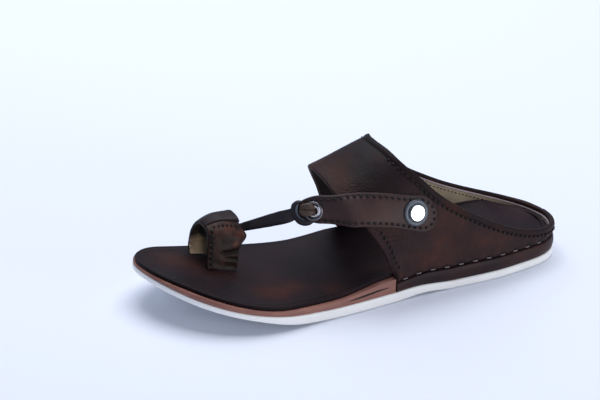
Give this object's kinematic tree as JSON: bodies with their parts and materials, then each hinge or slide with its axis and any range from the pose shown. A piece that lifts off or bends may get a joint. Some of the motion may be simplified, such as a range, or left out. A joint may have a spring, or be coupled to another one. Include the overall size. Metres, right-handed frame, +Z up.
{
  "type": "toe ring slipper",
  "caption": "Left leather slipper with a saddle upper, low heel wall, toe ring, snap-fastened side strap, thong and a flat rubber sole.",
  "frame": {"origin": "on the floor under the middle of the heel, at the heel's resting spot", "axes": "+Y to the toe, +X to the inner side of the left foot, +Z up"},
  "size_m": [0.0959, 0.2748, 0.0893],
  "materials": {
    "outsole": "white moulded rubber, satin",
    "midsole": "tan leather board, satin",
    "footbed": "dark purple-brown leather, satin",
    "rand": "dark brown smooth leather",
    "upper": "dark brown pebbled leather, satin",
    "toe_ring": "dark brown leather, satin",
    "side_strap": "dark brown leather, satin",
    "thong": "dark brown leather, satin",
    "eyelet": "nickel plate",
    "snap_washer": "dark blue-grey, satin",
    "snap_cap": "polished chrome"
  },
  "bodies": {
    "root": {"outsole": "outsole", "midsole": "midsole", "footbed": "footbed", "rand": "rand", "upper": "upper", "toe_ring": "toe_ring", "side_strap": "side_strap", "thong": "thong", "eyelet": "eyelet", "snap_washer": "snap_washer", "snap_cap": "snap_cap"}
  },
  "joints": []
}
